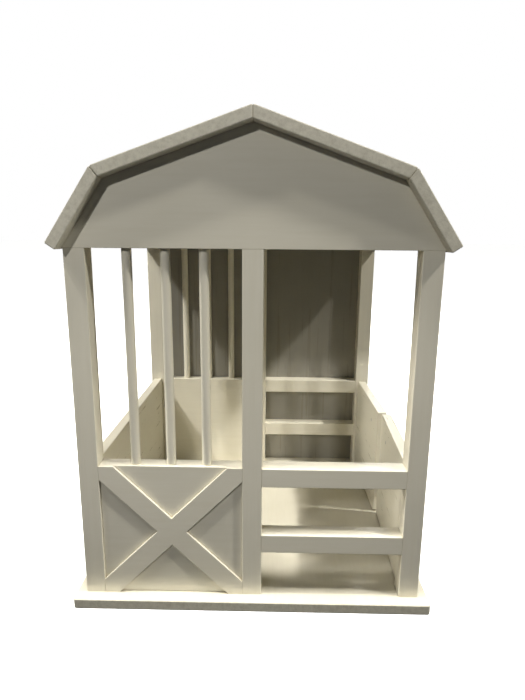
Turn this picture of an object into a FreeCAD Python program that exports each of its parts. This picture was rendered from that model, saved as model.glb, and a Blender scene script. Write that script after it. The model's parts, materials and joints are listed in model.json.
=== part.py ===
# Table-top toy stable: a painted wooden barn for toy animals.  Six square posts stand on a
# base plate, two gables and four mitred boards make a gambrel roof, half-height walls close
# the sides, and the right-hand wall is a pair of hinged doors.
# Millimetres.  +Z up, the front faces -Y, the origin is under the middle of the base plate.
import FreeCAD, Part
import math
import os
import Sketcher

doc = FreeCAD.newDocument("toy_stable")

# ---------------------------------------------------------------- driving dimensions
DIMENSIONS = [
    ("frame_width", 350.0, "outside of the left posts to outside of the right posts"),
    ("frame_depth", 350.0, "front face of the front frame to back face of the rear frame"),
    ("post_side", 20.0, "square section of the posts, and thickness of both frames"),
    ("base_thick", 11.0, "base plate"),
    ("base_side_lip", 10.5, "base plate beyond the posts, left and right"),
    ("base_end_lip", 13.0, "base plate beyond the posts, front and rear"),
    ("base_corner", 3.0, "corner radius of the base plate in plan"),
    ("half_wall_top", 154.0, "top of the walls, half panels and upper rails"),
    ("gable_foot", 370.0, "underside of the gables"),
    ("rail_height", 20.0, "height of a rail's face"),
    ("lower_rail_foot", 60.5, "underside of the lower rails"),
    ("brace_thick", 3.0, "cross braces on the half panels"),
    ("brace_width", 21.5, "width of a cross brace"),
    ("wall_thick", 12.0, "left wall and door leaves"),
    ("bar_dia", 9.5, "round bars above the half panels"),
    ("bar_pitch", 36.3, "bar to bar"),
    ("bar_seat", 10.0, "bar length held in the panel below and in the gable above"),
    ("ridge_top", 490.5, "top of the ridge"),
    ("knee_half", 141.8, "centre plane to the outer knee of the roof"),
    ("eave_half", 185.9, "centre plane to the outer eave edge"),
    ("upper_slope", 19.5, "degrees"),
    ("lower_slope", 56.2, "degrees"),
    ("roof_thick", 11.0, "roof boards"),
    ("roof_end_lip", 14.0, "roof beyond the gables, front and rear"),
    ("back_thick", 3.0, "grey board behind the rear frame"),
    ("back_lap", 10.0, "back board's lap over the rear gable"),
    ("edge_round", 0.8, "softened long edges of the timber"),
    ("seam_round", 0.4, "softened edges that meet another piece"),
    ("board_round", 1.2, "softened edges of roof boards, walls and doors"),
    ("front_leaf_end", 4.5, "front leaf's free end from the middle of the doorway"),
    ("rear_leaf_end", 1.5, "rear leaf's free end from the middle of the doorway"),
    ("front_leaf_set", 6.0, "closed front leaf's outer face behind the posts' outer faces"),
    ("rear_leaf_set", 4.0, "the same for the rear leaf"),
    ("door_post_gap", 2.0, "between a leaf and its post"),
    ("door_floor_gap", 1.5, "under the leaves"),
    ("front_ajar", 2.9, "degrees the front leaf stands open"),
    ("rear_ajar", 0.6, "degrees the rear leaf stands open"),
    ("hinge_height", 24.0, "butt hinge"),
    ("hinge_inset", 30.0, "leaf's end to the middle of a hinge"),
    ("hinge_reach", 12.0, "hinge axis to the free edge of a plate"),
    ("hinge_plate", 0.8, "plate thickness"),
    ("hinge_offset", 2.2, "hinge axis off the post and off the leaf's outer face"),
    ("knuckle_dia", 4.0, "outside of a knuckle"),
    ("knuckle_split", 0.2, "gap between knuckles"),
    ("hinge_pin_dia", 2.0, "hinge pin"),
    ("hinge_play", 0.05, "radial play of the pin in the leaf's knuckle"),
    ("hinge_screw_dia", 1.6, "shank"),
    ("hinge_screw_head", 3.0, "flush head"),
    ("hinge_screw_run", 9.0, "shank below the plate"),
    ("hinge_screw_rise", 7.5, "screw above and below the middle of its hinge"),
    ("hinge_screw_out", 7.0, "screw from the hinge axis"),
    ("knob_dia", 14.0, "door knob"),
    ("knob_neck_dia", 7.0, "neck of the knob"),
    ("knob_neck", 4.0, "length of the neck"),
    ("knob_dome", 3.0, "half thickness of the knob's head"),
    ("knob_inset", 39.0, "leaf's free end to the knob's axis"),
    ("knob_drop", 24.0, "knob's axis below the top of the leaf"),
    ("knob_screw_dia", 2.6, "screw through the leaf into the knob"),
    ("knob_screw_head", 4.6, "flush head on the leaf's inner face"),
    ("peg_dia", 6.0, "wooden pegs in the joints of the frame"),
    ("peg_depth", 10.0, "peg length in each piece"),
    ("low_peg", 47.0, "height of the lower pegs of a half panel"),
    ("high_peg", 127.0, "height of the upper pegs of a half panel"),
    ("wall_low_peg", 67.0, "height of the lower pegs of the left wall"),
    ("wall_high_peg", 107.0, "height of the upper pegs of the left wall"),
    ("base_screw_dia", 3.5, "screws up through the base plate into the posts"),
    ("base_screw_head", 7.0, "flush head"),
    ("base_screw_run", 30.0, "whole length"),
    ("brad_dia", 1.3, "brads through the roof boards into the gables"),
    ("brad_run", 20.0, "brad length"),
    ("brad_sink", 0.6, "brad head below the roof's surface"),
    ("upper_brad_in", 42.5, "centre plane to the upper boards' inner brads"),
    ("upper_brad_out", 106.0, "centre plane to the upper boards' outer brads"),
    ("lower_brad_in", 150.8, "centre plane to the lower boards' inner brads"),
    ("lower_brad_out", 163.8, "centre plane to the lower boards' outer brads"),
    ("nail_dia", 1.2, "nails of the back board"),
    ("nail_head", 3.6, "nail head"),
    ("nail_head_thick", 0.8, "nail head"),
    ("nail_run", 10.5, "shank"),
    ("nail_low", 26.0, "height of the lowest nails"),
    ("nail_second", 97.0, "height of the second row"),
    ("nail_third", 222.0, "height of the third row"),
    ("nail_high", 347.0, "height of the highest nails"),
    ("overcut", 1.0, "how far a cutting block reaches beyond what it cuts"),
]

sheet = doc.addObject("Spreadsheet::Sheet", "Dims")
for row, (alias, value, meaning) in enumerate(DIMENSIONS, start=1):
    sheet.set("A%d" % row, alias)
    sheet.set("B%d" % row, repr(value))
    sheet.set("C%d" % row, meaning)
    sheet.setAlias("B%d" % row, alias)
doc.recompute()

# Expressions used by several pieces.  D("name") reads one cell.
def D(alias):
    return "Dims." + alias


def size(expression):
    """The number that an expression of the sheet gives."""
    result = sheet.evalExpression(expression)
    return float(getattr(result, "Value", result))


HALF_WIDTH = "(Dims.frame_width / 2)"
HALF_DEPTH = "(Dims.frame_depth / 2)"
POST_X = {"left": "(-%s)" % HALF_WIDTH,
          "centre": "(-Dims.post_side / 2)",
          "right": "(%s - Dims.post_side)" % HALF_WIDTH}
FRAME_Y = {"front": "(-%s)" % HALF_DEPTH,
           "rear": "(%s - Dims.post_side)" % HALF_DEPTH}
BAY = "(Dims.frame_width / 2 - 1.5 * Dims.post_side)"
BAY_MIDDLE = "(Dims.post_side / 2 + %s / 2)" % BAY
WALL_HEIGHT = "(Dims.half_wall_top - Dims.base_thick)"

KNEE_TOP = "(Dims.ridge_top - Dims.knee_half * tan(Dims.upper_slope))"
EAVE_TOP = "(%s - (Dims.eave_half - Dims.knee_half) * tan(Dims.lower_slope))" % KNEE_TOP
MITRE_TILT = "((Dims.upper_slope + Dims.lower_slope) / 2)"
MITRE_RUN = "(Dims.roof_thick / cos((Dims.lower_slope - Dims.upper_slope) / 2))"
RIDGE_UNDER = "(Dims.ridge_top - Dims.roof_thick / cos(Dims.upper_slope))"
KNEE_UNDER_X = "(Dims.knee_half - %s * sin(%s))" % (MITRE_RUN, MITRE_TILT)
KNEE_UNDER_Z = "(%s - %s * cos(%s))" % (KNEE_TOP, MITRE_RUN, MITRE_TILT)
EAVE_UNDER_X = "(Dims.eave_half - Dims.roof_thick * sin(Dims.lower_slope))"
EAVE_UNDER_Z = "(%s - Dims.roof_thick * cos(Dims.lower_slope))" % EAVE_TOP
GABLE_SHOULDER = "(%s - (%s - %s) * tan(Dims.lower_slope))" % (KNEE_UNDER_Z, HALF_WIDTH, KNEE_UNDER_X)


# ---------------------------------------------------------------- small tools
def bind(thing, **expressions):
    for name, expression in expressions.items():
        thing.setExpression(name.replace("__", "."), expression)


def place(thing, x="0", y="0", z="0"):
    bind(thing, Placement__Base__x=x, Placement__Base__y=y, Placement__Base__z=z)


def block(name, corner, lengths):
    """A plain rectangular solid with its low corner at corner."""
    piece = doc.addObject("Part::Box", name)
    bind(piece, Length=lengths[0], Width=lengths[1], Height=lengths[2])
    place(piece, *corner)
    return piece


TURNS = {"x": ((0, 1, 0), 90.0), "-x": ((0, 1, 0), -90.0),
         "y": ((1, 0, 0), -90.0), "-y": ((1, 0, 0), 90.0),
         "z": ((0, 0, 1), 0.0)}


def turn(thing, direction):
    axis, angle = TURNS[direction]
    thing.Placement.Rotation = FreeCAD.Rotation(FreeCAD.Vector(*axis), angle)


def rod(name, start, direction, radius, length):
    """A cylinder from start along x, -x, y, -y or z."""
    piece = doc.addObject("Part::Cylinder", name)
    turn(piece, direction)
    bind(piece, Radius=radius, Height=length)
    place(piece, *start)
    return piece


def shifted(point, direction, distance):
    """point moved along direction, as expressions."""
    sign = "-" if direction.startswith("-") else "+"
    index = "xyz".index(direction[-1])
    moved = list(point)
    moved[index] = "(%s %s %s)" % (point[index], sign, distance)
    return moved


def screw(name, start, direction, head_dia, head_run, shank_dia, shank_run):
    """A flush-headed screw: its head lies at start and its shank runs along direction."""
    head = doc.addObject("Part::Cone", name + "_head")
    turn(head, direction)
    bind(head, Radius1=head_dia + " / 2", Radius2=shank_dia + " / 2", Height=head_run)
    place(head, *start)
    shank = rod(name + "_shank", shifted(start, direction, head_run), direction,
                shank_dia + " / 2", shank_run)
    return fuse(name, [head, shank])


def nail(name, start, direction):
    """A round-headed nail: the underside of its head lies at start."""
    back = {"x": "-x", "-x": "x", "y": "-y", "-y": "y"}[direction]
    head = rod(name + "_head", start, back, "Dims.nail_head / 2", D("nail_head_thick"))
    shank = rod(name + "_shank", start, direction, "Dims.nail_dia / 2", D("nail_run"))
    return fuse(name, [head, shank])


def fuse(name, pieces):
    joined = doc.addObject("Part::MultiFuse", name)
    joined.Shapes = pieces
    joined.Refine = True
    return joined


def group(name, pieces):
    """Separate solids kept together as one object."""
    together = doc.addObject("Part::Compound", name)
    together.Links = pieces
    return together


def cut(name, piece, tool):
    result = doc.addObject("Part::Cut", name)
    result.Base = piece
    result.Tool = tool
    return result


def plane(body, role):
    return [part for part in body.Origin.OriginFeatures if part.Role == role][0]


def along(edge, axis):
    """True for a straight edge that runs along the axis numbered 0, 1 or 2."""
    first, last = edge.Vertexes[0].Point, edge.Vertexes[-1].Point
    change = last - first
    return edge.Curve.TypeId == "Part::GeomLine" and abs(abs(change[axis]) - change.Length) < 1e-6


def soften(body, feature, radius, wanted):
    """Round the edges of the body's last feature that wanted(edge) picks."""
    doc.recompute()
    names = ["Edge%d" % number for number, edge in enumerate(feature.Shape.Edges, start=1)
             if wanted(edge)]
    rounding = body.newObject("PartDesign::Fillet", feature.Name + "_round")
    rounding.Base = (feature, names)
    bind(rounding, Radius=D(radius))
    body.Tip = rounding
    return rounding


def board(name, corner, lengths, radius, wanted):
    """A rectangular board in a body of its own, with some of its edges softened."""
    body = doc.addObject("PartDesign::Body", name + "_board")
    timber = body.newObject("PartDesign::AdditiveBox", name + "_timber")
    bind(timber, Length=lengths[0], Width=lengths[1], Height=lengths[2])
    soften(body, timber, radius, wanted)
    place(body, *corner)
    return body


def outline(body, name, corners):
    """A closed sketch of straight lines on the body's XZ plane, each corner an (x, z) pair."""
    sketch = body.newObject("Sketcher::SketchObject", name)
    sketch.AttachmentSupport = [(plane(body, "XZ_Plane"), "")]
    sketch.MapMode = "FlatFace"
    points = [FreeCAD.Vector(size(x), size(z), 0) for x, z in corners]
    count = len(points)
    for index in range(count):
        sketch.addGeometry(Part.LineSegment(points[index], points[(index + 1) % count]), False)
    for index in range(count):
        sketch.addConstraint(Sketcher.Constraint("Coincident", index, 2, (index + 1) % count, 1))
    for index, (x, z) in enumerate(corners):
        for kind, expression in (("DistanceX", x), ("DistanceY", z)):
            number = sketch.addConstraint(
                Sketcher.Constraint(kind, -1, 1, index, 1, size(expression)))
            sketch.setExpression("Constraints[%d]" % number, expression)
    return sketch


def prism(name, corners, start, depth, radius, wanted):
    """An upright profile padded towards +Y, with some of its edges softened."""
    body = doc.addObject("PartDesign::Body", name + "_board")
    pad = body.newObject("PartDesign::Pad", name + "_pad")
    pad.Profile = outline(body, name + "_outline", corners)
    pad.Reversed = True
    bind(pad, Length=depth)
    soften(body, pad, radius, wanted)
    place(body, y=start)
    return body


subparts = []


def finish(thing, label):
    """Keep thing as a sub-part under its own name."""
    thing.Label = label
    subparts.append(thing)
    return thing


# ---------------------------------------------------------------- fasteners and bars
def centre_of(end):
    return "(%s + Dims.post_side / 2)" % FRAME_Y[end]


bars = []
for end in FRAME_Y:
    for number in (-1, 0, 1):
        bar = rod("%s_bar_%d" % (end, number + 2),
                  ("-%s + %d * Dims.bar_pitch" % (BAY_MIDDLE, number), centre_of(end),
                   "Dims.half_wall_top - Dims.bar_seat"),
                  "z", "Dims.bar_dia / 2",
                  "Dims.gable_foot - Dims.half_wall_top + 2 * Dims.bar_seat")
        bars.append(finish(bar, bar.Name))

pegs = []


def peg(x, y, z, direction):
    """A wooden peg whose middle is at the joint."""
    start = shifted((x, y, z), direction, "(-Dims.peg_depth)")
    pegs.append(rod("peg_%d" % (len(pegs) + 1), start, direction, "Dims.peg_dia / 2",
                    "2 * Dims.peg_depth"))


RAIL_FEET = {"upper": "(Dims.half_wall_top - Dims.rail_height)", "lower": "Dims.lower_rail_foot"}
for end in FRAME_Y:
    for side, x in POST_X.items():
        peg("(%s + Dims.post_side / 2)" % x, centre_of(end), D("gable_foot"), "z")
    for height in ("low_peg", "high_peg"):
        peg("(-Dims.post_side / 2)", centre_of(end), D(height), "x")
        peg("(-%s + Dims.post_side)" % HALF_WIDTH, centre_of(end), D(height), "x")
    for foot in RAIL_FEET.values():
        middle = "(%s + Dims.rail_height / 2)" % foot
        peg("(Dims.post_side / 2)", centre_of(end), middle, "x")
        peg("(%s - Dims.post_side)" % HALF_WIDTH, centre_of(end), middle, "x")
for joint in ("(%s - Dims.post_side)" % HALF_DEPTH, "(Dims.post_side - %s)" % HALF_DEPTH):
    for height in ("wall_low_peg", "wall_high_peg"):
        peg("(-%s + Dims.post_side / 2)" % HALF_WIDTH, joint, D(height), "y")
joint_pegs = finish(group("joint_pegs", pegs), "joint_pegs")

base_screws = finish(group("base_screws", [
    screw("base_screw_%s_%s" % (end, side),
          ("(%s + Dims.post_side / 2)" % x, centre_of(end), "0"), "z",
          D("base_screw_head"), "(Dims.base_screw_head - Dims.base_screw_dia) / 2",
          D("base_screw_dia"),
          "(Dims.base_screw_run - (Dims.base_screw_head - Dims.base_screw_dia) / 2)")
    for end in FRAME_Y for side, x in POST_X.items()]), "base_screws")

brads = []
for end in FRAME_Y:
    for slope in ("upper", "lower"):
        tilt = "Dims.%s_slope" % slope
        for x in ("Dims.%s_brad_in" % slope, "Dims.%s_brad_out" % slope):
            if slope == "upper":
                top = "(Dims.ridge_top - %s * tan(%s))" % (x, tilt)
            else:
                top = "(%s - (%s - Dims.knee_half) * tan(%s))" % (KNEE_TOP, x, tilt)
            reach = "(Dims.brad_run + Dims.brad_sink)"
            for side in (-1, 1):
                brad = doc.addObject("Part::Cylinder", "brad_%d" % (len(brads) + 1))
                brad.Placement.Rotation = FreeCAD.Rotation(FreeCAD.Vector(0, 1, 0), 1.0)
                bind(brad, Radius="Dims.brad_dia / 2", Height=D("brad_run"),
                     Placement__Rotation__Angle="%s" % tilt)
                brad.Placement.Rotation.Axis = FreeCAD.Vector(0, side, 0)
                place(brad, "%d * (%s - %s * sin(%s))" % (side, x, reach, tilt),
                      centre_of(end), "%s - %s * cos(%s)" % (top, reach, tilt))
                brads.append(brad)
roof_brads = finish(group("roof_brads", brads), "roof_brads")

nails = []
for side, x in POST_X.items():
    for height in ("nail_low", "nail_second", "nail_third", "nail_high"):
        nails.append(nail("nail_%d" % (len(nails) + 1),
                          ("(%s + Dims.post_side / 2)" % x, HALF_DEPTH + " + Dims.back_thick",
                           D(height)), "-y"))
back_nails = finish(group("back_nails", nails), "back_nails")

# ---------------------------------------------------------------- hinges
HINGE_X = {end: "(%s - Dims.%s_leaf_set + Dims.hinge_offset)" % (HALF_WIDTH, end)
           for end in FRAME_Y}
HINGE_Y = "(%s - Dims.post_side - Dims.hinge_offset)" % HALF_DEPTH
LEAF_FOOT = "(Dims.base_thick + Dims.door_floor_gap)"
HINGE_MIDDLES = {"lower": "(%s + Dims.hinge_inset)" % LEAF_FOOT,
                 "upper": "(Dims.half_wall_top - Dims.hinge_inset)"}
CLEAR = "(Dims.knuckle_dia / 2 + 2 * Dims.knuckle_split)"
KNUCKLE = "(Dims.hinge_height / 3)"


def swing(thing, end):
    """Turn a closed leaf's piece about the hinge axis to the angle that the leaf stands at."""
    sign = -1 if end == "front" else 1
    angle = "(%d * Dims.%s_ajar)" % (sign, end)
    y = "(%d * %s)" % (sign, HINGE_Y)
    thing.Placement.Rotation = FreeCAD.Rotation(FreeCAD.Vector(0, 0, sign), 1.0)
    bind(thing, Placement__Rotation__Angle="Dims.%s_ajar" % end)
    thing.Placement.Rotation.Axis = FreeCAD.Vector(0, 0, sign)
    x = HINGE_X[end]
    place(thing, "%s * (1 - cos(%s)) + %s * sin(%s)" % (x, angle, y, angle),
          "%s * (1 - cos(%s)) - %s * sin(%s)" % (y, angle, x, angle))
    return thing


def span(sign, near, far):
    """Low end and length of a stretch from near to far along sign * Y."""
    if sign > 0:
        return near, "(%s - %s)" % (far, near)
    return "(-(%s))" % far, "(%s - %s)" % (far, near)


def hinge(end, level):
    """One butt hinge of the leaf hung on the front or the rear post."""
    post_sign = -1 if end == "front" else 1
    into_post, name = ("-y" if end == "front" else "y"), "%s_door_%s_hinge" % (end, level)
    axis_x, axis_y = HINGE_X[end], "(%d * %s)" % (post_sign, HINGE_Y)
    middle = HINGE_MIDDLES[level]
    foot = "(%s - Dims.hinge_height / 2)" % middle
    post_face = "(%s - Dims.post_side)" % HALF_DEPTH
    leaf_face = "(%s - Dims.hinge_offset)" % axis_x

    def knuckle(part, low, high):
        return rod("%s_%s" % (name, part), (axis_x, axis_y, "(%s + %s)" % (foot, low)), "z",
                   "Dims.knuckle_dia / 2", "(%s - %s)" % (high, low))

    # The plate on the post, with the outer two knuckles.
    low, width = span(post_sign, "(%s - Dims.hinge_plate)" % post_face, post_face)
    plate = block(name + "_post_blank",
                  ("%s - Dims.hinge_reach" % axis_x, low, foot),
                  (D("hinge_reach"), width, D("hinge_height")))
    post_blank = fuse(name + "_post_knuckled", [
        plate,
        knuckle("post_low", "0", "(%s - Dims.knuckle_split / 2)" % KNUCKLE),
        knuckle("post_high", "(2 * %s + Dims.knuckle_split / 2)" % KNUCKLE, D("hinge_height"))])
    post_relief = block(name + "_post_relief",
                        ("%s - %s" % (axis_x, CLEAR), low,
                         "%s + %s - Dims.knuckle_split / 2" % (foot, KNUCKLE)),
                        ("2 * " + CLEAR, width, KNUCKLE + " + Dims.knuckle_split"))
    pin = finish(rod(name + "_pin", (axis_x, axis_y, foot), "z", "Dims.hinge_pin_dia / 2",
                     D("hinge_height")), name + "_pin")
    post_screws = [screw("%s_post_screw_%d" % (name, number),
                         ("(%s - Dims.hinge_screw_out)" % axis_x,
                          "(%d * (%s - Dims.hinge_plate))" % (post_sign, post_face),
                          "(%s + %d * Dims.hinge_screw_rise)" % (middle, way)), into_post,
                         D("hinge_screw_head"), D("hinge_plate"), D("hinge_screw_dia"),
                         D("hinge_screw_run"))
                   for number, way in ((1, -1), (2, 1))]
    post_plate = cut(name + "_post_plate", post_blank,
                     group(name + "_post_cuts", [post_relief, pin] + post_screws))
    finish(post_plate, name + "_post_plate")

    # The plate on the leaf's outer face, with the middle knuckle.
    near, far = "(%s - Dims.hinge_reach)" % HINGE_Y, HINGE_Y
    low, width = span(post_sign, near, far)
    plate = block(name + "_leaf_blank", (leaf_face, low, foot),
                  (D("hinge_plate"), width, D("hinge_height")))
    leaf_blank = fuse(name + "_leaf_knuckled", [
        plate, knuckle("leaf", "(%s + Dims.knuckle_split / 2)" % KNUCKLE,
                       "(2 * %s - Dims.knuckle_split / 2)" % KNUCKLE)])
    low, width = span(post_sign, "(%s - %s)" % (HINGE_Y, CLEAR), "(%s + %s)" % (HINGE_Y, CLEAR))
    reliefs = [block("%s_leaf_relief_%d" % (name, number),
                     ("%s - Dims.overcut" % leaf_face, low, "%s + %s" % (foot, rise)),
                     ("Dims.hinge_plate + 2 * Dims.overcut", width, KNUCKLE + " + Dims.knuckle_split / 2"))
               for number, rise in ((1, "0"), (2, "2 * %s - Dims.knuckle_split / 2" % KNUCKLE))]
    bore = rod(name + "_bore", (axis_x, axis_y, foot), "z",
               "Dims.hinge_pin_dia / 2 + Dims.hinge_play", D("hinge_height"))
    leaf_screws = [screw("%s_leaf_screw_%d" % (name, number),
                         ("(%s + Dims.hinge_plate)" % leaf_face,
                          "(%d * (%s - Dims.hinge_screw_out))" % (post_sign, HINGE_Y),
                          "(%s + %d * Dims.hinge_screw_rise)" % (middle, way)), "-x",
                         D("hinge_screw_head"), D("hinge_plate"), D("hinge_screw_dia"),
                         D("hinge_screw_run"))
                   for number, way in ((1, -1), (2, 1))]
    leaf_plate = cut(name + "_leaf_plate", leaf_blank,
                     group(name + "_leaf_cuts", reliefs + [bore] + leaf_screws))
    finish(swing(leaf_plate, end), name + "_leaf_plate")
    return post_screws, leaf_screws


# ---------------------------------------------------------------- doors
post_screw_groups = []
for end in FRAME_Y:
    sign = -1 if end == "front" else 1
    post_screws = []
    leaf_screws = []
    for level in HINGE_MIDDLES:
        in_post, in_leaf = hinge(end, level)
        post_screws += in_post
        leaf_screws += in_leaf
    label = "%s_door_post_screws" % end
    post_screw_groups.append(finish(group(label, post_screws), label))
    label = "%s_door_leaf_screws" % end
    finish(swing(group(label, leaf_screws), end), label)

    leaf_outer = "(%s - Dims.hinge_offset)" % HINGE_X[end]
    free_end = "Dims.%s_leaf_end" % end
    hung_end = "(%s - Dims.post_side - Dims.door_post_gap)" % HALF_DEPTH
    knob_y = "(%d * (%s + Dims.knob_inset))" % (sign, free_end)
    knob_z = "(Dims.half_wall_top - Dims.knob_drop)"
    knob_screw = screw(end + "_knob_screw_closed",
                       ("(%s - Dims.wall_thick)" % leaf_outer, knob_y, knob_z), "x",
                       D("knob_screw_head"), "(Dims.knob_screw_head - Dims.knob_screw_dia) / 2",
                       D("knob_screw_dia"), "(Dims.wall_thick + Dims.knob_neck)")
    neck = rod(end + "_knob_neck", (leaf_outer, knob_y, knob_z), "x", "Dims.knob_neck_dia / 2",
               "Dims.knob_neck + Dims.knob_dome")
    head = doc.addObject("Part::Ellipsoid", end + "_knob_head")
    bind(head, Radius1=D("knob_dome"), Radius2="Dims.knob_dia / 2", Radius3="Dims.knob_dia / 2")
    turn(head, "x")
    place(head, "%s + Dims.knob_neck + Dims.knob_dome" % leaf_outer, knob_y, knob_z)
    knob = cut(end + "_door_knob", fuse(end + "_knob_turned", [neck, head]), knob_screw)
    finish(swing(knob, end), knob.Name)
    finish(swing(group(end + "_knob_screw", [knob_screw]), end), end + "_knob_screw")

    low, width = span(sign, free_end, hung_end)
    leaf = board(end + "_leaf", ("%s - Dims.wall_thick" % leaf_outer, low, LEAF_FOOT),
                 (D("wall_thick"), width, "Dims.half_wall_top - %s" % LEAF_FOOT),
                 "board_round", lambda edge: True)
    label = "right_%s_door" % end
    finish(swing(cut(label, leaf, group(label + "_cuts", leaf_screws + [knob_screw])), end), label)

hardware = group("hardware", bars + [joint_pegs, base_screws, roof_brads, back_nails]
                 + post_screw_groups)


def drilled(body, label):
    """Take the room of bars, pegs, screws and nails out of a piece, and keep it."""
    return finish(cut(label, body, hardware), label)


# ---------------------------------------------------------------- base, posts, rails, walls
base = doc.addObject("PartDesign::Body", "base_board")
slab = base.newObject("PartDesign::AdditiveBox", "base_slab")
bind(slab, Length="Dims.frame_width + 2 * Dims.base_side_lip",
     Width="Dims.frame_depth + 2 * Dims.base_end_lip", Height=D("base_thick"))
corners = soften(base, slab, "base_corner", lambda edge: along(edge, 2))
soften(base, corners, "board_round",
       lambda edge: abs(edge.Vertexes[0].Z - edge.Vertexes[-1].Z) < 1e-6)
place(base, "-%s - Dims.base_side_lip" % HALF_WIDTH, "-%s - Dims.base_end_lip" % HALF_DEPTH)
drilled(base, "base_plate")

for end, y in FRAME_Y.items():
    for side, x in POST_X.items():
        label = "%s_%s_post" % (end, side)
        drilled(board(label, (x, y, D("base_thick")),
                      (D("post_side"), D("post_side"), "Dims.gable_foot - Dims.base_thick"),
                      "edge_round", lambda edge: along(edge, 2)), label)
    for level, foot in RAIL_FEET.items():
        label = "%s_%s_rail" % (end, level)
        drilled(board(label, ("Dims.post_side / 2", y, foot),
                      (BAY, D("post_side"), D("rail_height")),
                      "edge_round", lambda edge: along(edge, 0)), label)

drilled(board("left_wall", ("-%s + (Dims.post_side - Dims.wall_thick) / 2" % HALF_WIDTH,
                            "Dims.post_side - %s" % HALF_DEPTH, D("base_thick")),
              (D("wall_thick"), "Dims.frame_depth - 2 * Dims.post_side", WALL_HEIGHT),
              "board_round", lambda edge: along(edge, 1)), "left_wall")

# ---------------------------------------------------------------- half panels with cross braces
PANEL_LEFT = "(-%s + Dims.post_side)" % HALF_WIDTH
PANEL_RIGHT = "(-Dims.post_side / 2)"
PANEL_FOOT = D("base_thick")
PANEL_TOP = D("half_wall_top")
BRACE_TILT = "atan(%s / %s)" % (WALL_HEIGHT, BAY)
BRACE_ALONG_X = "(Dims.brace_width / 2 / sin(%s))" % BRACE_TILT
BRACE_ALONG_Z = "(Dims.brace_width / 2 / cos(%s))" % BRACE_TILT


def brace(name, start, rising):
    """A strip from corner to corner of a half panel, with ends cut to the corners."""
    corners = [(PANEL_LEFT, PANEL_FOOT),
               ("%s + %s" % (PANEL_LEFT, BRACE_ALONG_X), PANEL_FOOT),
               (PANEL_RIGHT, "%s - %s" % (PANEL_TOP, BRACE_ALONG_Z)),
               (PANEL_RIGHT, PANEL_TOP),
               ("%s - %s" % (PANEL_RIGHT, BRACE_ALONG_X), PANEL_TOP),
               (PANEL_LEFT, "%s + %s" % (PANEL_FOOT, BRACE_ALONG_Z))]
    if not rising:
        corners = [("%s + %s - (%s)" % (PANEL_LEFT, PANEL_RIGHT, x), z) for x, z in corners]

    def slanted(edge):
        return not any(along(edge, axis) for axis in (0, 1, 2))

    return prism(name, corners, start, D("brace_thick"), "edge_round", slanted)


for end, y in FRAME_Y.items():
    front = end == "front"
    drilled(board(end + "_half_panel",
                  (PANEL_LEFT, y + " + Dims.brace_thick" if front else y, PANEL_FOOT),
                  (BAY, "Dims.post_side - Dims.brace_thick", WALL_HEIGHT),
                  "seam_round", lambda edge: along(edge, 0)), end + "_half_panel")
    start = y if front else "%s - Dims.brace_thick" % HALF_DEPTH
    long_brace = brace(end + "_long_brace", start, rising=not front)
    finish(long_brace, end + "_long_brace")
    crossing = brace(end + "_crossing", start, rising=front)
    finish(cut(end + "_short_braces", crossing, long_brace), end + "_short_braces")

# ---------------------------------------------------------------- gables and roof
GABLE = [("-" + HALF_WIDTH, D("gable_foot")), (HALF_WIDTH, D("gable_foot")),
         (HALF_WIDTH, GABLE_SHOULDER), (KNEE_UNDER_X, KNEE_UNDER_Z), ("0", RIDGE_UNDER),
         ("-" + KNEE_UNDER_X, KNEE_UNDER_Z), ("-" + HALF_WIDTH, GABLE_SHOULDER)]


def at_foot(edge):
    return along(edge, 0) and edge.CenterOfMass.z < size(D("gable_foot")) + 0.1


for end, y in FRAME_Y.items():
    drilled(prism(end + "_gable", GABLE, y, D("post_side"), "seam_round", at_foot), end + "_gable")

# The back board's upper corners are cut off parallel to the roof.
BACK_TOP = "(Dims.gable_foot + Dims.back_lap)"
BACK_TOP_X = "(%s - Dims.back_lap / tan(Dims.lower_slope))" % HALF_WIDTH
BACK = [("-" + HALF_WIDTH, D("base_thick")), (HALF_WIDTH, D("base_thick")),
        (HALF_WIDTH, D("gable_foot")), (BACK_TOP_X, BACK_TOP),
        ("-" + BACK_TOP_X, BACK_TOP), ("-" + HALF_WIDTH, D("gable_foot"))]
drilled(prism("back_panel", BACK, HALF_DEPTH, D("back_thick"), "seam_round",
              lambda edge: True), "back_panel")

UPPER = [("0", D("ridge_top")), ("0", RIDGE_UNDER), (KNEE_UNDER_X, KNEE_UNDER_Z),
         (D("knee_half"), KNEE_TOP)]
LOWER = [(D("knee_half"), KNEE_TOP), (KNEE_UNDER_X, KNEE_UNDER_Z), (EAVE_UNDER_X, EAVE_UNDER_Z),
         (D("eave_half"), EAVE_TOP)]
for side, sign in (("left", "-"), ("right", "")):
    for level, corners in (("upper", UPPER), ("lower", LOWER)):
        label = "roof_%s_%s" % (side, level)
        mirrored = [("%s(%s)" % (sign, x), z) for x, z in corners]
        drilled(prism(label, mirrored, "-%s - Dims.roof_end_lip" % HALF_DEPTH,
                      "Dims.frame_depth + 2 * Dims.roof_end_lip", "board_round",
                      lambda edge: True), label)

# ---------------------------------------------------------------- check and write
doc.recompute()
failed = [thing.Name for thing in doc.Objects
          if "Invalid" in thing.State or "Error" in thing.State]
if failed:
    raise RuntimeError("these objects failed: " + ", ".join(failed))
labels = [thing.Label for thing in subparts]
if len(set(labels)) != len(labels):
    raise RuntimeError("two sub-parts share a name")
for thing in subparts:
    if thing.Shape.isNull() or not thing.Shape.isValid() or not thing.Shape.Solids:
        raise RuntimeError("%s has no valid solid" % thing.Label)

os.makedirs("parts", exist_ok=True)
for thing in subparts:
    thing.Shape.exportStep(os.path.join("parts", thing.Label + ".step"))
whole = Part.makeCompound([thing.Shape for thing in subparts]).BoundBox
print("%d sub-parts, %.1f x %.1f x %.1f mm" % (len(subparts), whole.XLength, whole.YLength,
                                              whole.ZLength))
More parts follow.
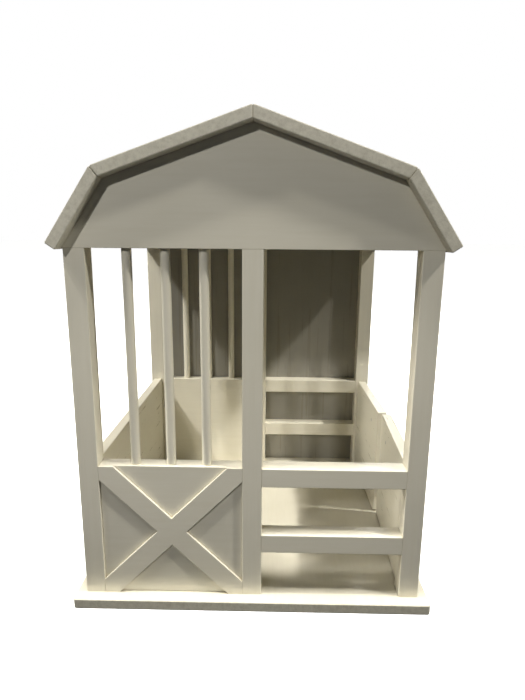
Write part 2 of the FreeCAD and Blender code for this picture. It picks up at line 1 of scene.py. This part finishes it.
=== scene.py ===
# Looks for the toy stable: a cream-painted wooden barn on a pale studio floor.
# Metres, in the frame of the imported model: +Z up, the front faces -Y.
import json
import math

import bmesh
import bpy
from mathutils import Matrix, Vector


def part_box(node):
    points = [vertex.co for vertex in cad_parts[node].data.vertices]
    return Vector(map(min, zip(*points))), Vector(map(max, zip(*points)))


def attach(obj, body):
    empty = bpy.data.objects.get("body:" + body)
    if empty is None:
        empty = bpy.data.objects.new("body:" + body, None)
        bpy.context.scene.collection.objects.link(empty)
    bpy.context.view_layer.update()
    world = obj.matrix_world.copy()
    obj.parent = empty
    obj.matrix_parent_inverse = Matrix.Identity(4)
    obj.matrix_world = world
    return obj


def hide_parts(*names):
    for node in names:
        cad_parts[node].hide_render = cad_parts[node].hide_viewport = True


MM = 0.001

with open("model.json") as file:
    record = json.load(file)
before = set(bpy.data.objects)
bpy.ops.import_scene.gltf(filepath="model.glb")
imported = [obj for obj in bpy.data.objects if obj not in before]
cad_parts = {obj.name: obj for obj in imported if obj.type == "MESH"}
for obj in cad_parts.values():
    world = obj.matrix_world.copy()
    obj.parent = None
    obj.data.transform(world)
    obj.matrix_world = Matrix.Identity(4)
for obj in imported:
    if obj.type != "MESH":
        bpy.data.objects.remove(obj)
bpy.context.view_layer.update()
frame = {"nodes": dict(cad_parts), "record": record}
nodes = frame["nodes"]
body_of = {node: body for body, held in frame["record"]["behaviour"]["bodies"].items()
           for node in held}

ENDS = ("front", "rear")
SIDES = ("left", "centre", "right")
LEVELS = ("upper", "lower")
ROOF = ["roof_%s_%s" % (side, level) for side in ("left", "right") for level in LEVELS]


# ---------------------------------------------------------------- camera
FOCAL_LENGTH = 26.78  # mm, on a 36 mm side
CAMERA_PLACE = Vector((17.1, -658.0, 382.4)) * MM
CAMERA_PITCH = math.radians(12.41)  # downwards
CAMERA_YAW = math.radians(-0.90)  # positive turns towards +X
CAMERA_ROLL = math.radians(0.476)


def add_camera():
    camera = bpy.data.objects.new("camera", bpy.data.cameras.new("camera"))
    bpy.context.scene.collection.objects.link(camera)
    camera.data.sensor_fit = "VERTICAL"
    camera.data.sensor_height = 36.0
    camera.data.lens = FOCAL_LENGTH
    camera.data.clip_start = 0.01
    camera.data.clip_end = 100.0
    ahead = Vector((math.sin(CAMERA_YAW) * math.cos(CAMERA_PITCH),
                    math.cos(CAMERA_YAW) * math.cos(CAMERA_PITCH), -math.sin(CAMERA_PITCH)))
    level = Vector((math.cos(CAMERA_YAW), -math.sin(CAMERA_YAW), 0.0))
    upright = level.cross(ahead)
    right = math.cos(CAMERA_ROLL) * level + math.sin(CAMERA_ROLL) * upright
    up = math.cos(CAMERA_ROLL) * upright - math.sin(CAMERA_ROLL) * level
    turned = Matrix((right, up, -ahead)).transposed().to_4x4()
    camera.matrix_world = Matrix.Translation(CAMERA_PLACE) @ turned
    bpy.context.scene.camera = camera


# ---------------------------------------------------------------- light and floor
# Lamps: name, kind, place and aim in mm, diameter in mm, watts, colour. The last two are fill.
WARM = (1.0, 0.97, 0.90)
NEUTRAL = (1.0, 0.985, 0.95)
LAMPS = (
    ("front_left", "SPOT", (-1427, -3508, 2163), (-110, -175, 435), 210, 200.0, NEUTRAL),
    ("overhead", "AREA", (0, -430, 2300), (0, -175, 100), 280, 20.0, NEUTRAL),
    ("right", "AREA", (2052, -290, 2680), (60, 0, 80), 200, 52.0, WARM),
    ("right_front", "AREA", (2052, -780, 2680), (60, 0, 80), 200, 52.0, WARM),
    ("high_left", "AREA", (-1649, -330, 2483), (0, 0, 100), 160, 42.0, WARM),
    ("high_left_front", "AREA", (-1264, -653, 2483), (0, 0, 200), 120, 20.0, WARM),
    ("left_low", "AREA", (-1700, 350, 700), (100, -50, 100), 400, 15.0, WARM),
    ("rear", "AREA", (300, 2600, 1500), (0, 178, 200), 1000, 30.0, NEUTRAL),
)
SPOT_CONE = math.radians(14.2)  # the front light fades towards the foot of the stable
ZENITH_STRENGTH = 0.85  # a sun lamp straight above, which keeps the floor evenly white
ZENITH_WIDTH = math.radians(8.0)
FLOOR_GLOW = 0.74  # the floor's own light, which the object doesn't receive
ROOM_STRENGTH = 0.042

# These lamps would burn out the top side of the roof, which the photo doesn't show.
OFF_THE_ROOF = ("overhead", "right", "high_left", "high_left_front")


def keep_off_roof(lamp):
    """Let a lamp's light miss the roof boards, which still cast their shadow."""
    spared = bpy.data.collections.new(lamp.name + "_spares")
    for name in ROOF:
        spared.objects.link(nodes[name])
    lamp.light_linking.receiver_collection = spared
    for held in spared.collection_objects:
        held.light_linking.link_state = "EXCLUDE"


def add_lamp(name, kind):
    lamp = bpy.data.objects.new(name, bpy.data.lights.new(name, kind))
    bpy.context.scene.collection.objects.link(lamp)
    return lamp


def add_lamps():
    zenith = add_lamp("zenith", "SUN")
    zenith.data.energy = ZENITH_STRENGTH
    zenith.data.angle = ZENITH_WIDTH
    for name, kind, place, aim, diameter, watts, colour in LAMPS:
        lamp = add_lamp(name, kind)
        if kind == "SPOT":
            lamp.data.spot_size = SPOT_CONE
            lamp.data.spot_blend = 1.0
            lamp.data.shadow_soft_size = diameter / 2.0 * MM
        else:
            lamp.data.shape = "DISK"
            lamp.data.size = diameter * MM
        lamp.data.energy = watts
        lamp.data.color = colour
        lamp.location = Vector(place) * MM
        lamp.rotation_mode = "QUATERNION"
        lamp.rotation_quaternion = (Vector(aim) - Vector(place)).to_track_quat("-Z", "Y")
        if name in OFF_THE_ROOF:
            keep_off_roof(lamp)


def add_world():
    """White behind the object, and a dimmer room light on it."""
    world = bpy.data.worlds.new("room")
    bpy.context.scene.world = world
    world.use_nodes = True
    tree = world.node_tree
    tree.nodes.clear()
    out = tree.nodes.new("ShaderNodeOutputWorld")
    mix = tree.nodes.new("ShaderNodeMixShader")
    room = tree.nodes.new("ShaderNodeBackground")
    white = tree.nodes.new("ShaderNodeBackground")
    path = tree.nodes.new("ShaderNodeLightPath")
    room.inputs["Color"].default_value = (0.92, 0.95, 1.0, 1.0)
    room.inputs["Strength"].default_value = ROOM_STRENGTH
    white.inputs["Color"].default_value = (1.0, 1.0, 1.0, 1.0)
    tree.links.new(path.outputs["Is Camera Ray"], mix.inputs[0])
    tree.links.new(room.outputs[0], mix.inputs[1])
    tree.links.new(white.outputs[0], mix.inputs[2])
    tree.links.new(mix.outputs[0], out.inputs[0])


def add_floor():
    half = 30.0
    mesh = bpy.data.meshes.new("floor")
    mesh.from_pydata([(-half, -half, 0), (half, -half, 0), (half, half, 0), (-half, half, 0)],
                     [], [(0, 1, 2, 3)])
    floor = bpy.data.objects.new("floor", mesh)
    bpy.context.scene.collection.objects.link(floor)
    material = bpy.data.materials.new("floor")
    material.use_nodes = True
    shader = material.node_tree.nodes["Principled BSDF"]
    shader.inputs["Base Color"].default_value = (0.90, 0.90, 0.89, 1.0)
    shader.inputs["Roughness"].default_value = 0.75
    shader.inputs["Emission Color"].default_value = (1.0, 1.0, 0.99, 1.0)
    shader.inputs["Emission Strength"].default_value = FLOOR_GLOW
    mesh.materials.append(material)
    floor.visible_diffuse = False  # its bounce would wash out the shade under the roof
    floor.visible_glossy = False


# ---------------------------------------------------------------- materials
CREAM = (0.85, 0.810, 0.685)
AXES = {"x": 0, "y": 1, "z": 2}


def scaled(colour, factor):
    """A lighter or darker shade of a colour."""
    return tuple(channel * factor for channel in colour)


def new_material(name):
    """A new material, with its node tree and its shader."""
    material = bpy.data.materials.new(name)
    material.use_nodes = True
    tree = material.node_tree
    return material, tree, tree.nodes["Principled BSDF"]


def add_node(tree, kind, **settings):
    node = tree.nodes.new(kind)
    for key, value in settings.items():
        setattr(node, key, value)
    return node


def noise(tree, place, scale, detail=3.0, roughness=0.5):
    node = add_node(tree, "ShaderNodeTexNoise")
    node.inputs["Scale"].default_value = scale
    node.inputs["Detail"].default_value = detail
    node.inputs["Roughness"].default_value = roughness
    tree.links.new(place, node.inputs["Vector"])
    return node.outputs["Fac"]


def ramp(tree, value, stops):
    """Colours spread over a value from 0 to 1; stops are (position, colour) pairs."""
    node = add_node(tree, "ShaderNodeValToRGB")
    elements = node.color_ramp.elements
    while len(elements) < len(stops):
        elements.new(0.5)
    for element, (position, colour) in zip(elements, stops):
        element.position = position
        element.color = (*colour, 1.0)
    tree.links.new(value, node.inputs["Fac"])
    return node.outputs["Color"]


def span(tree, value, low, high):
    """value from 0 to 1, spread over low to high."""
    node = add_node(tree, "ShaderNodeMapRange")
    node.inputs["To Min"].default_value = low
    node.inputs["To Max"].default_value = high
    tree.links.new(value, node.inputs["Value"])
    return node.outputs["Result"]


def multiply(tree, first, second, amount=1.0):
    node = add_node(tree, "ShaderNodeMix", data_type="RGBA", blend_type="MULTIPLY")
    node.inputs["Factor"].default_value = amount
    tree.links.new(first, node.inputs["A"])
    tree.links.new(second, node.inputs["B"])
    return node.outputs["Result"]


def stretched(tree, axis, length):
    """Object coordinates that vary length times more slowly along an axis."""
    place = add_node(tree, "ShaderNodeTexCoord").outputs["Object"]
    mapping = add_node(tree, "ShaderNodeMapping")
    scale = [1.0, 1.0, 1.0]
    scale[AXES[axis]] = 1.0 / length
    mapping.inputs["Scale"].default_value = scale
    tree.links.new(place, mapping.inputs["Vector"])
    return place, mapping.outputs["Vector"]


def bumped(tree, shader, *layers):
    """Stack bump layers of (height, strength, depth in metres) on the shader's normal."""
    normal = None
    for height, strength, depth in layers:
        node = add_node(tree, "ShaderNodeBump")
        node.inputs["Strength"].default_value = strength
        node.inputs["Distance"].default_value = depth
        tree.links.new(height, node.inputs["Height"])
        if normal is not None:
            tree.links.new(normal, node.inputs["Normal"])
        normal = node.outputs["Normal"]
    tree.links.new(normal, shader.inputs["Normal"])


def painted_corner_shade(tree, colour, reach, darkest):
    """Painted shade: darken a colour slightly in corners and seams, within reach of another
    surface.
    """
    shade = add_node(tree, "ShaderNodeAmbientOcclusion", samples=8)
    shade.inputs["Distance"].default_value = reach
    tint = ramp(tree, shade.outputs["AO"], ((0.15, darkest), (0.75, (1.0, 1.0, 1.0))))
    return multiply(tree, colour, tint)


def beyond(tree, axis, distance):
    """1 where the object's coordinate on an axis is further out than distance, else 0."""
    place = add_node(tree, "ShaderNodeTexCoord").outputs["Object"]
    split = add_node(tree, "ShaderNodeSeparateXYZ")
    size = add_node(tree, "ShaderNodeMath", operation="ABSOLUTE")
    test = add_node(tree, "ShaderNodeMath", operation="GREATER_THAN")
    tree.links.new(place, split.inputs["Vector"])
    tree.links.new(split.outputs[AXES[axis]], size.inputs[0])
    tree.links.new(size.outputs[0], test.inputs[0])
    test.inputs[1].default_value = distance
    return test.outputs[0]


def sawn_ends_and_painted_highlight(tree, place, body, distance):
    """Mottle a colour on board ends beyond distance along Y and paint them lighter overall, a
    painted highlight; also gives the ends' relief.
    """
    mask = beyond(tree, "y", distance)
    blotch = noise(tree, place, 210.0, 6.0, 0.72)
    # the tint averages above 1: a painted highlight on the board ends, over a real mottle
    tint = ramp(tree, blotch, ((0.34, (0.92, 0.91, 0.88)), (0.50, (1.05, 1.05, 1.04)),
                               (0.64, (1.14, 1.14, 1.13))))
    node = add_node(tree, "ShaderNodeMix", data_type="RGBA", blend_type="MULTIPLY")
    tree.links.new(mask, node.inputs["Factor"])
    tree.links.new(body, node.inputs["A"])
    tree.links.new(tint, node.inputs["B"])
    height = add_node(tree, "ShaderNodeMath", operation="MULTIPLY")
    tree.links.new(mask, height.inputs[0])
    tree.links.new(blotch, height.inputs[1])
    return node.outputs["Result"], height.outputs[0]


def paint(name, grain="z", colour=CREAM, gloss=0.36, mottle=0.03, relief=1.0, coat=0.12,
          ends=None):
    """Satin paint over wood: faint grain and brush drag along one axis, roller stipple,
    slow colour drift, and painted shade in the seams and corners. Faces beyond ends along Y are
    rough board ends, mottled and painted lighter as a painted highlight."""
    material, tree, shader = new_material(name)
    place, along = stretched(tree, grain, 14.0)
    drift = noise(tree, place, 9.0, 4.0)
    streak = noise(tree, along, 260.0, 4.0, 0.6)
    stipple = noise(tree, place, 900.0, 2.0)
    speck = noise(tree, place, 2600.0, 1.0)
    low = [channel * (1.0 - mottle) for channel in colour]
    low[2] *= 0.985
    high = [min(1.0, channel * (1.0 + mottle * 0.7)) for channel in colour]
    body = ramp(tree, drift, ((0.30, low), (0.70, high)))
    grainy = ramp(tree, streak, ((0.32, (0.97, 0.965, 0.95)), (0.62, (1.0, 1.0, 1.0))))
    body = multiply(tree, body, grainy, 0.8)
    # painted shade in corners and seams, from ambient occlusion
    body = painted_corner_shade(tree, body, 4.0 * MM, (0.74, 0.70, 0.63))
    layers = [(drift, 0.25 * relief, 1.2 * MM), (streak, 0.30 * relief, 0.10 * MM),
              (stipple, 0.22 * relief, 0.05 * MM), (speck, 0.10 * relief, 0.02 * MM)]
    if ends:
        body, sawn = sawn_ends_and_painted_highlight(tree, place, body, ends)
        layers.append((sawn, 0.55, 0.5 * MM))
    tree.links.new(body, shader.inputs["Base Color"])
    tree.links.new(span(tree, streak, gloss - 0.05, gloss + 0.08), shader.inputs["Roughness"])
    shader.inputs["Coat Weight"].default_value = coat
    shader.inputs["Coat Roughness"].default_value = 0.22
    bumped(tree, shader, *layers)
    return material


def back_board(name):
    """Dark satin board with faint vertical drag marks, which mirrors softly."""
    material, tree, shader = new_material(name)
    place, along = stretched(tree, "z", 30.0)
    drift = noise(tree, place, 7.0, 3.0)
    streak = noise(tree, along, 120.0, 3.0)
    fine = noise(tree, along, 900.0, 2.0)
    body = ramp(tree, drift, ((0.3, (0.280, 0.267, 0.226)), (0.7, (0.335, 0.319, 0.274))))
    body = multiply(tree, body, ramp(tree, streak, ((0.3, (0.97, 0.97, 0.965)),
                                                    (0.7, (1.0, 1.0, 1.0)))))
    tree.links.new(body, shader.inputs["Base Color"])
    tree.links.new(span(tree, streak, 0.25, 0.31), shader.inputs["Roughness"])
    shader.inputs["Coat Weight"].default_value = 0.3
    shader.inputs["Coat Roughness"].default_value = 0.18
    bumped(tree, shader, (streak, 0.08, 0.2 * MM), (fine, 0.12, 0.03 * MM))
    return material


def bare_wood(name, grain="z"):
    """Unpainted beech."""
    material, tree, shader = new_material(name)
    place, along = stretched(tree, grain, 18.0)
    rings = noise(tree, along, 150.0, 4.0, 0.6)
    flecks = noise(tree, along, 900.0, 2.0)
    body = ramp(tree, rings, ((0.25, (0.50, 0.32, 0.17)), (0.75, (0.70, 0.51, 0.31))))
    body = multiply(tree, body, ramp(tree, flecks, ((0.3, (0.80, 0.74, 0.66)),
                                                    (0.5, (1.0, 1.0, 1.0)))))
    tree.links.new(body, shader.inputs["Base Color"])
    tree.links.new(span(tree, flecks, 0.5, 0.7), shader.inputs["Roughness"])
    bumped(tree, shader, (rings, 0.3, 0.1 * MM))
    return material


def metal(name, dark, light, rough_low, rough_high):
    """Rolled metal with handling marks and a little tarnish."""
    material, tree, shader = new_material(name)
    place, along = stretched(tree, "z", 10.0)
    tarnish = noise(tree, place, 420.0, 4.0, 0.6)
    scratch = noise(tree, along, 4200.0, 2.0)
    tree.links.new(ramp(tree, tarnish, ((0.35, dark), (0.62, light))), shader.inputs["Base Color"])
    tree.links.new(span(tree, scratch, rough_low, rough_high), shader.inputs["Roughness"])
    shader.inputs["Metallic"].default_value = 1.0
    bumped(tree, shader, (scratch, 0.15, 0.02 * MM), (tarnish, 0.10, 0.04 * MM))
    return material


# ---------------------------------------------------------------- turned and fastened pieces
def turned(shape, profile, place, segments=40):
    """Add a turned solid to a bmesh: (radius, height) pairs about the Z axis of place."""
    rings = []
    for radius, height in profile:
        if radius == 0.0:
            rings.append([shape.verts.new(place @ Vector((0.0, 0.0, height)))])
            continue
        ring = []
        for step in range(segments):
            angle = 2.0 * math.pi * step / segments
            point = Vector((radius * math.cos(angle), radius * math.sin(angle), height))
            ring.append(shape.verts.new(place @ point))
        rings.append(ring)
    for below, above in zip(rings, rings[1:]):
        for step in range(segments):
            following = (step + 1) % segments
            if len(below) == 1:
                shape.faces.new((below[0], above[following], above[step]))
            elif len(above) == 1:
                shape.faces.new((below[step], below[following], above[0]))
            else:
                shape.faces.new((below[step], below[following], above[following], above[step]))


def blade(shape, half_length, half_width, depth, turn):
    """Add one tapered blade of a cross-head bit to a bmesh, its top at Z = 0.1 of its depth."""
    spin = Matrix.Rotation(turn, 4, "Z")
    rings = []
    for height, part in ((0.1 * depth, 1.05), (-depth, 0.45)):
        corners = ((1, 1), (-1, 1), (-1, -1), (1, -1))
        rings.append([shape.verts.new(spin @ Vector((x * half_length * part,
                                                     y * half_width * part, height)))
                      for x, y in corners])
    top, bottom = rings
    shape.faces.new(top)
    shape.faces.new(bottom[::-1])
    for step in range(4):
        following = (step + 1) % 4
        shape.faces.new((top[step], bottom[step], bottom[following], top[following]))


def to_mesh(shape, name, crease=35.0):
    """Turn a bmesh into a smooth-shaded mesh with its hard corners kept."""
    bmesh.ops.recalc_face_normals(shape, faces=shape.faces)
    mesh = bpy.data.meshes.new(name)
    shape.to_mesh(mesh)
    shape.free()
    mesh.polygons.foreach_set("use_smooth", [True] * len(mesh.polygons))
    mesh.set_sharp_from_angle(angle=math.radians(crease))
    return mesh


def carved(body, tools):
    """The mesh that is left when each tool mesh is cut out of a body mesh."""
    things = [bpy.data.objects.new("carving", mesh) for mesh in [body] + tools]
    for thing in things:
        bpy.context.scene.collection.objects.link(thing)
    for tool in things[1:]:
        modifier = things[0].modifiers.new("cut", "BOOLEAN")
        modifier.operation = "DIFFERENCE"
        modifier.solver = "EXACT"
        modifier.object = tool
    graph = bpy.context.evaluated_depsgraph_get()
    result = bpy.data.meshes.new_from_object(things[0].evaluated_get(graph))
    for thing in things:
        bpy.data.objects.remove(thing)
    return result


def screw_mesh(head_radius, shank_radius, length):
    """A countersunk cross-head screw: its head's face at Z = 0, its shank downwards."""
    neck = head_radius - shank_radius
    rim = 0.06 * head_radius
    profile = [(0.0, -length), (0.25 * shank_radius, -length),
               (shank_radius, 2.0 * shank_radius - length), (shank_radius, -neck - rim),
               (head_radius, -rim), (0.97 * head_radius, -0.3 * rim), (0.92 * head_radius, 0.0),
               (0.0, 0.0)]
    shape = bmesh.new()
    turned(shape, profile, Matrix())
    body = to_mesh(shape, "screw", 30.0)
    tools = []
    for turn in (0.0, math.pi / 2.0):
        bit = bmesh.new()
        blade(bit, 0.66 * head_radius, 0.15 * head_radius, 0.5 * head_radius, turn)
        tools.append(to_mesh(bit, "bit", 10.0))
    return carved(body, tools)


def nail_mesh(head_radius, shank_radius, length, head_thick):
    """A round-headed nail, its head's top at Z = 0 and its shank downwards."""
    profile = [(0.0, -length), (shank_radius, 3.0 * shank_radius - length),
               (shank_radius, -head_thick), (0.94 * head_radius, -head_thick),
               (head_radius, -0.75 * head_thick), (0.95 * head_radius, -0.45 * head_thick),
               (0.72 * head_radius, -0.16 * head_thick), (0.38 * head_radius, -0.03 * head_thick),
               (0.0, 0.0)]
    shape = bmesh.new()
    turned(shape, profile, Matrix())
    return to_mesh(shape, "nail", 40.0)


def separate(name):
    """The corner points of each solid that a CAD node holds."""
    shape = bmesh.new()
    shape.from_mesh(nodes[name].data)
    bmesh.ops.remove_doubles(shape, verts=shape.verts, dist=0.001 * MM)
    left = set(shape.verts)
    solids = []
    while left:
        found = [left.pop()]
        for vert in found:
            for edge in vert.link_edges:
                other = edge.other_vert(vert)
                if other in left:
                    left.remove(other)
                    found.append(other)
        solids.append([vert.co.copy() for vert in found])
    shape.free()
    return solids


def middle_of(points):
    """The middle of the points' box."""
    return Vector([(min(p[axis] for p in points) + max(p[axis] for p in points)) / 2.0
                   for axis in range(3)])


def end_point(points, outward):
    """Middle of a turned solid's end face, and the face's radius, on the outward side."""
    most = max(point.dot(outward) for point in points)
    face = [point for point in points if point.dot(outward) > most - 0.2 * MM]
    centre = middle_of(face)
    return centre, max((point - centre).length for point in face)


def fastened(name, outward, template, turn_step=0.7):
    """Replace the screws or nails of a CAD node with detailed ones in the same places. Their
    heads face outward, and each is turned turn_step radians further than the one before."""
    outward = Vector(outward)
    whole = bmesh.new()
    for number, points in enumerate(sorted(separate(name), key=lambda p: tuple(middle_of(p)))):
        head, _ = end_point(points, outward)
        tip, _ = end_point(points, -outward)
        place = Matrix.Translation(head) @ (head - tip).to_track_quat("Z", "Y").to_matrix().to_4x4()
        place = place @ Matrix.Rotation(turn_step * number, 4, "Z")
        fresh = template.copy()
        fresh.transform(place)
        whole.from_mesh(fresh)
        bpy.data.meshes.remove(fresh)
    return new_piece(name + "_turned", to_mesh(whole, name + "_turned", 30.0), name)


def new_piece(piece_name, mesh, *replaced):
    """A new object that stands for CAD nodes and rides with the first one's body."""
    piece = bpy.data.objects.new(piece_name, mesh)
    bpy.context.scene.collection.objects.link(piece)
    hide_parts(*replaced)
    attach(piece, body_of[replaced[0]])
    return piece


def knob_piece(end, material):
    """A turned mushroom knob with a small collar, the CAD knob's length and width."""
    name = end + "_door_knob"
    points = separate(name)[0]
    outward = Vector((1.0, 0.0, 0.0))
    low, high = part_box(name)
    foot, _ = end_point(points, -outward)
    centre = middle_of(points)
    length = 2.0 * (centre - foot).length
    radius = (high[2] - low[2]) / 2.0
    profile = [(0.0, 0.0), (0.60, 0.0), (0.66, 0.03), (0.66, 0.07), (0.60, 0.11), (0.50, 0.14),
               (0.45, 0.20), (0.43, 0.27), (0.46, 0.34), (0.56, 0.41), (0.74, 0.47),
               (0.89, 0.53), (0.97, 0.60), (1.0, 0.68), (0.98, 0.76), (0.90, 0.845),
               (0.76, 0.91), (0.58, 0.955), (0.36, 0.985), (0.15, 0.998), (0.0, 1.0)]
    place = Matrix.Translation(foot) @ (centre - foot).to_track_quat("Z", "Y").to_matrix().to_4x4()
    shape = bmesh.new()
    turned(shape, [(r * radius, h * length) for r, h in profile], place, 64)
    piece = new_piece(name + "_turned", to_mesh(shape, name + "_turned", 60.0), name)
    piece.data.materials.append(material)


def pin_piece(name, material):
    """A hinge pin with peened ends."""
    points = separate(name)[0]
    up = Vector((0.0, 0.0, 1.0))
    foot, radius = end_point(points, -up)
    top, _ = end_point(points, up)
    length = (top - foot).length
    dome = 0.45 * radius
    profile = [(0.0, 0.0), (0.45 * radius, 0.08 * dome), (0.80 * radius, 0.4 * dome),
               (radius, dome), (radius, length - dome), (0.80 * radius, length - 0.4 * dome),
               (0.45 * radius, length - 0.08 * dome), (0.0, length)]
    shape = bmesh.new()
    turned(shape, profile, Matrix.Translation(foot), 32)
    piece = new_piece(name + "_turned", to_mesh(shape, name + "_turned", 50.0), name)
    piece.data.materials.append(material)


def dress(material, *names):
    """Give CAD nodes a material in place of their own."""
    for name in names:
        mesh = nodes[name].data
        mesh.materials.clear()
        mesh.materials.append(material)


def dress_frame():
    roof_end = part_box("roof_left_upper")[1][1] - 0.6 * MM
    base_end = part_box("base_plate")[1][1] - 0.6 * MM
    upright = paint("frame_paint_upright", "z")
    # The dowels get a lighter copy of the cream: painted light for the brighter light they catch.
    dowel = paint("frame_paint_dowel", "z", colour=scaled(CREAM, 1.07), gloss=0.42, relief=2.2)
    level = paint("frame_paint_level", "x")
    wall_level = paint("wall_paint_level", "x", mottle=0.025)
    wall_deep = paint("wall_paint_deep", "y", mottle=0.025, gloss=0.28, relief=0.5)
    roof = paint("roof_paint", "y", mottle=0.05, gloss=0.58, relief=1.5, coat=0.0, ends=roof_end)
    # The base plate gets a darker copy of the cream: painted shade for its dim top under the roof.
    base = paint("base_paint", "y", colour=scaled(CREAM, 0.86), gloss=0.17, mottle=0.025,
                 ends=base_end)
    knob = paint("knob_paint", "x", gloss=0.22)
    for end in ENDS:
        dress(upright, *["%s_%s_post" % (end, side) for side in SIDES])
        dress(dowel, *["%s_bar_%d" % (end, number) for number in (1, 2, 3)])
        dress(level, end + "_gable", *["%s_%s_rail" % (end, level_name) for level_name in LEVELS])
        dress(wall_level, end + "_half_panel", end + "_long_brace", end + "_short_braces")
        dress(wall_deep, "right_%s_door" % end)
        dress(knob, end + "_door_knob")
        knob_piece(end, knob)
    dress(wall_deep, "left_wall")
    dress(roof, *ROOF)
    dress(base, "base_plate")
    dress(back_board("back_board"), "back_panel")
    dress(bare_wood("bare_wood"), "joint_pegs")


# Head radius, shank radius and length in mm.
HINGE_SCREW = (1.5, 0.8, 9.8)
KNOB_SCREW = (2.3, 1.3, 17.0)
BASE_SCREW = (3.5, 1.75, 30.0)
NAIL = (1.8, 0.6, 11.3)
NAIL_HEAD_THICK = 0.8


def in_metres(sizes):
    return [size * MM for size in sizes]


def dress_metal():
    bronze = metal("hinge_metal", (0.21, 0.165, 0.12), (0.38, 0.305, 0.225), 0.30, 0.45)
    worn_bronze = metal("hinge_screw_metal", (0.36, 0.29, 0.21), (0.58, 0.48, 0.36), 0.24, 0.38)
    steel = metal("steel", (0.42, 0.42, 0.43), (0.62, 0.62, 0.63), 0.25, 0.42)
    hinge_screw = screw_mesh(*in_metres(HINGE_SCREW))
    knob_screw = screw_mesh(*in_metres(KNOB_SCREW))
    base_screw = screw_mesh(*in_metres(BASE_SCREW))
    nail = nail_mesh(*in_metres(NAIL), NAIL_HEAD_THICK * MM)
    for mesh, material in ((hinge_screw, worn_bronze), (knob_screw, steel), (base_screw, steel),
                           (nail, steel)):
        mesh.materials.clear()
        mesh.materials.append(material)
    for end, off_post in (("front", (0, 1, 0)), ("rear", (0, -1, 0))):
        for level in LEVELS:
            for part in ("post_plate", "leaf_plate", "pin"):
                dress(bronze, "%s_door_%s_hinge_%s" % (end, level, part))
            pin_piece("%s_door_%s_hinge_pin" % (end, level), bronze)
        dress(worn_bronze, end + "_door_post_screws", end + "_door_leaf_screws")
        dress(steel, end + "_knob_screw")
        for name, outward, template, material in (
                (end + "_door_post_screws", off_post, hinge_screw, worn_bronze),
                (end + "_door_leaf_screws", (1, 0, 0), hinge_screw, worn_bronze),
                (end + "_knob_screw", (-1, 0, 0), knob_screw, steel)):
            fastened(name, outward, template).data.materials.append(material)
    dress(steel, "base_screws", "roof_brads", "back_nails")
    fastened("base_screws", (0, 0, -1), base_screw, 1.1).data.materials.append(steel)
    fastened("back_nails", (0, 1, 0), nail, 1.9).data.materials.append(steel)


dress_frame()
dress_metal()
add_camera()
add_lamps()
add_world()
add_floor()
bpy.context.scene.view_settings.view_transform = "Standard"
